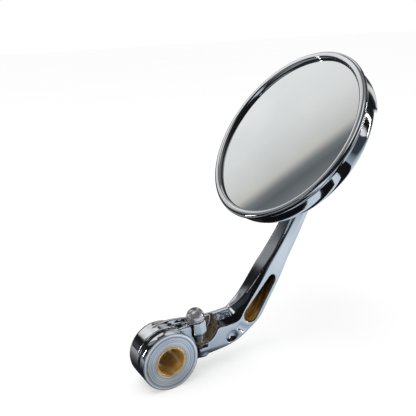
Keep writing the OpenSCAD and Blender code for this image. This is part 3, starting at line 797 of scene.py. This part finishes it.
def makeFloor():
    # plain pale floor; metal sees a painted reflection on it, paler ahead of the mirror, with painted shade under and
    # behind it
    bm = bmesh.new()
    bmesh.ops.create_grid(bm, x_segments=1, y_segments=1, size=floorSettings["half"],
                          matrix=Matrix.Translation((0, 0, floorSettings["height"] * mm)))
    mesh = bpy.data.meshes.new("floor")
    bm.to_mesh(mesh)
    bm.free()
    material = bpy.data.materials.new("PaintedFloor")
    material.use_nodes = True
    tree = material.node_tree
    tree.nodes.clear()
    place = addNode(tree, "ShaderNodeTexCoord")
    fine = addNode(tree, "ShaderNodeTexNoise", [(place.outputs["Object"], "Vector")], in_Scale=3.0)
    tone = rampNode(tree, fine.outputs["Fac"], [(0.2, "#f8f8f8"), (0.8, "#fbfbfb")])
    paint = addNode(tree, "ShaderNodeBsdfDiffuse", [(tone.outputs["Color"], "Color")])
    ahead = addNode(tree, "ShaderNodeVectorMath", [(place.outputs["Object"], 0)], operation="DOT_PRODUCT")
    ahead.inputs[1].default_value = floorSettings["ahead"]
    near = addNode(tree, "ShaderNodeMapRange", [(ahead.outputs["Value"], "Value")],
                   in_1=floorSettings["from"], in_2=floorSettings["to"])
    paintedReflectionTone = rampNode(tree, near.outputs["Result"], paintedFloorReflectionStops)
    # the floor glows with this painted reflection and painted shade for glossy rays only
    card = addNode(tree, "ShaderNodeEmission", [(paintedReflectionTone.outputs["Color"], "Color")])
    path = addNode(tree, "ShaderNodeLightPath")
    lift = addNode(tree, "ShaderNodeEmission", in_Color=hexColour("#ffffff"))
    pale = addNode(tree, "ShaderNodeMixShader", [(paint.outputs["BSDF"], 1), (lift.outputs["Emission"], 2)], in_0=0.5)
    shown = addNode(tree, "ShaderNodeMixShader", [(path.outputs["Is Camera Ray"], 0), (paint.outputs["BSDF"], 1),
                                                  (pale.outputs["Shader"], 2)])
    both = addNode(tree, "ShaderNodeMixShader", [(path.outputs["Is Glossy Ray"], 0), (shown.outputs["Shader"], 1),
                                                 (card.outputs["Emission"], 2)])
    addNode(tree, "ShaderNodeOutputMaterial", [(both.outputs["Shader"], "Surface")])
    mesh.materials.append(material)
    floor = bpy.data.objects.new("floor", mesh)
    bpy.context.collection.objects.link(floor)
    return floor


# painted reflection tones that metal sees on the floor, with painted shade behind the mirror, to far ahead of it
paintedFloorReflectionStops = [(0.0, "#303335"), (0.09, "#a6a8ab"), (0.19, "#96989b"), (0.25, "#202327"), (0.29, "#24282d"),
              (0.306, "#a5b3c2"), (0.336, "#c6d3e2"), (0.44, "#dde7f2"), (0.56, "#a9b5c2"), (0.76, "#3a4048")]
# and round the room, from straight down to straight up
worldStops = [(0.0, "#202225"), (0.5, "#4a4d50"), (0.56, "#36383b"), (0.62, "#1c1d1f"), (0.72, "#1f2123"),
              (0.80, "#303235"), (0.9, "#4a4c4f"), (1.0, "#8e9092")]
# cards in the room: direction, how wide in degrees, soft edge in degrees, tone
cards = [
    ((0.74, 0.66, 0.10), 20, 6, "#f4f6f8"),
    ((0.20, 0.95, 0.22), 17, 5, "#151618"),
    ((-0.30, 0.95, 0.05), 9, 4, "#e4e6e8"),
    ((-0.80, 0.50, 0.25), 17, 8, "#b0b4b8"),
    ((-0.51, 0.47, 0.72), 16, 5, "#dcdedf"), ((-0.80, 0.05, 0.58), 11, 4, "#e6e8e9"),
    ((-0.25, -0.95, 0.15), 14, 8, "#8c9094"),
    ((-0.45, -0.75, 0.50), 18, 5, "#1e2022"),
    ((0.75, -0.6, 0.2), 35, 12, "#17181a"),
    ((-0.34, -0.80, 0.49), 4, 2, "#ffffff"), ((0.10, -0.38, 0.92), 17, 10, "#fafafa"),
]

glassCard = {
    "middle": (-0.755, -0.31, 0.575), "wide": 14.0, "edge": 5.0, "across": (2.687, -5.481, 1.363),
    "stops": [(0.0, "#f8f8f8"), (0.3, "#ececec"), (0.52, "#dcdcdb"), (0.64, "#d4d1cd"), (0.73, "#7c8084"),
              (0.81, "#63676b"), (0.9, "#74787c"), (1.0, "#8c9093")],
}


def makeWorld():
    world = bpy.data.worlds.new("studio")
    bpy.context.scene.world = world
    world.use_nodes = True
    tree = world.node_tree
    tree.nodes.clear()
    place = addNode(tree, "ShaderNodeTexCoord")
    split = addNode(tree, "ShaderNodeSeparateXYZ", [(place.outputs["Generated"], "Vector")])
    half = addNode(tree, "ShaderNodeMath", [(split.outputs["Z"], 0)], operation="MULTIPLY_ADD",
                   in_1=0.5, in_2=0.5)
    tone = rampNode(tree, half.outputs["Value"], worldStops).outputs["Color"]
    for direction, wide, edge, colour in cards:
        facing = addNode(tree, "ShaderNodeVectorMath", [(place.outputs["Generated"], 0)], operation="DOT_PRODUCT")
        facing.inputs[1].default_value = Vector(direction).normalized()
        amount = addNode(tree, "ShaderNodeMapRange", [(facing.outputs["Value"], "Value")],
                         interpolation_type="SMOOTHSTEP",
                         in_1=math.cos(math.radians(wide + edge / 2)), in_2=math.cos(math.radians(wide - edge / 2)))
        mixed = addNode(tree, "ShaderNodeMixRGB", [(amount.outputs["Result"], "Fac"), (tone, 1)],
                        in_2=hexColour(colour))
        tone = mixed.outputs["Color"]
    # a wide soft card above and behind, pale to grey, that the mirror glass faces
    s = glassCard
    across = addNode(tree, "ShaderNodeVectorMath", [(place.outputs["Generated"], 0)], operation="DOT_PRODUCT")
    across.inputs[1].default_value = s["across"]
    fade = rampNode(tree, across.outputs["Value"], s["stops"])
    inside = addNode(tree, "ShaderNodeVectorMath", [(place.outputs["Generated"], 0)], operation="DOT_PRODUCT")
    inside.inputs[1].default_value = Vector(s["middle"]).normalized()
    amount = addNode(tree, "ShaderNodeMapRange", [(inside.outputs["Value"], "Value")], interpolation_type="SMOOTHSTEP",
                     in_1=math.cos(math.radians(s["wide"] + s["edge"] / 2)),
                     in_2=math.cos(math.radians(s["wide"] - s["edge"] / 2)))
    tone = addNode(tree, "ShaderNodeMixRGB", [(amount.outputs["Result"], "Fac"), (tone, 1),
                                              (fade.outputs["Color"], 2)]).outputs["Color"]
    room = addNode(tree, "ShaderNodeBackground", [(tone, "Color")], in_Strength=1.0)
    white = addNode(tree, "ShaderNodeBackground", in_Color=hexColour("#ffffff"), in_Strength=1.0)
    path = addNode(tree, "ShaderNodeLightPath")
    # metal sees the room, everything else an even white
    shown = addNode(tree, "ShaderNodeMixShader", [(path.outputs["Is Glossy Ray"], 0),
                                                  (white.outputs["Background"], 1),
                                                  (room.outputs["Background"], 2)])
    addNode(tree, "ShaderNodeOutputWorld", [(shown.outputs["Shader"], "Surface")])


lampSettings = [
    # name, place in metres, aims at, width, height, watts
    ("lampTop", (0.15, -0.35, 1.0), (0, 0.05, 0.05), 0.8, 0.5, 4.0),
    ("lampLeft", (-0.75, -0.75, 0.10), (0, 0.05, 0.06), 0.03, 0.5, 0.5),
    ("lampBack", (0.30, 0.95, 0.15), (0, 0.05, 0.06), 0.04, 0.6, 0.8),
]


def aimed(place, target):
    back = (Vector(place) - Vector(target)).normalized()
    return Matrix.Translation(place) @ back.to_track_quat("Z", "Y").to_matrix().to_4x4()


def makeLamps():
    for name, place, target, width, height, power in lampSettings:
        lamp = bpy.data.lights.new(name, "AREA")
        lamp.shape, lamp.size, lamp.size_y, lamp.energy = "RECTANGLE", width, height, power
        holder = bpy.data.objects.new(name, lamp)
        holder.matrix_world = aimed(place, target)
        holder.visible_camera = False
        holder.visible_glossy = name != "lampTop"
        bpy.context.collection.objects.link(holder)


flagSettings = [
    # a dark card that only metal sees: lowest and highest corner
    ("flagUnderHead", (0.0, -0.03, 0.052), (0.09, 0.062, 0.053), "#101113"),
    ("flagNear", (0.02, 0.072, 0.052), (0.15, 0.090, 0.053), "#121315"),
    ("flagFar", (0.02, 0.105, 0.052), (0.18, 0.150, 0.053), "#15171a"),
]


def makeFlags():
    for name, low, high, colour in flagSettings:
        flag = blockFromTo(name, [v / mm for v in low], [v / mm for v in high])
        flag.data.materials.append(plainEmission(name, colour, 1.0))
        flag.visible_camera = flag.visible_diffuse = flag.visible_shadow = flag.visible_transmission = False


cameraSettings = {
    "lens": 50.73, "place": (0.2446, -0.1129, 0.1663),
    # right, up and back of the camera, one row for each of X, Y and Z
    "turn": ((0.5064, -0.2333, 0.8301), (0.8611, 0.1880, -0.4725), (-0.0458, 0.9541, 0.2961)),
}


def makeCamera():
    s = cameraSettings
    camera = bpy.data.cameras.new("camera")
    camera.sensor_width, camera.sensor_fit, camera.lens = 36.0, "HORIZONTAL", s["lens"]
    camera.clip_start, camera.clip_end = 0.01, 20.0
    holder = bpy.data.objects.new("camera", camera)
    holder.matrix_world = Matrix.Translation(s["place"]) @ Matrix(s["turn"]).to_4x4()
    bpy.context.collection.objects.link(holder)
    bpy.context.scene.camera = holder


makeFloor()
makeWorld()
makeLamps()
makeFlags()
makeCamera()
bpy.context.scene.view_settings.view_transform = "Standard"
print("stage made")

bpy.context.view_layer.update()
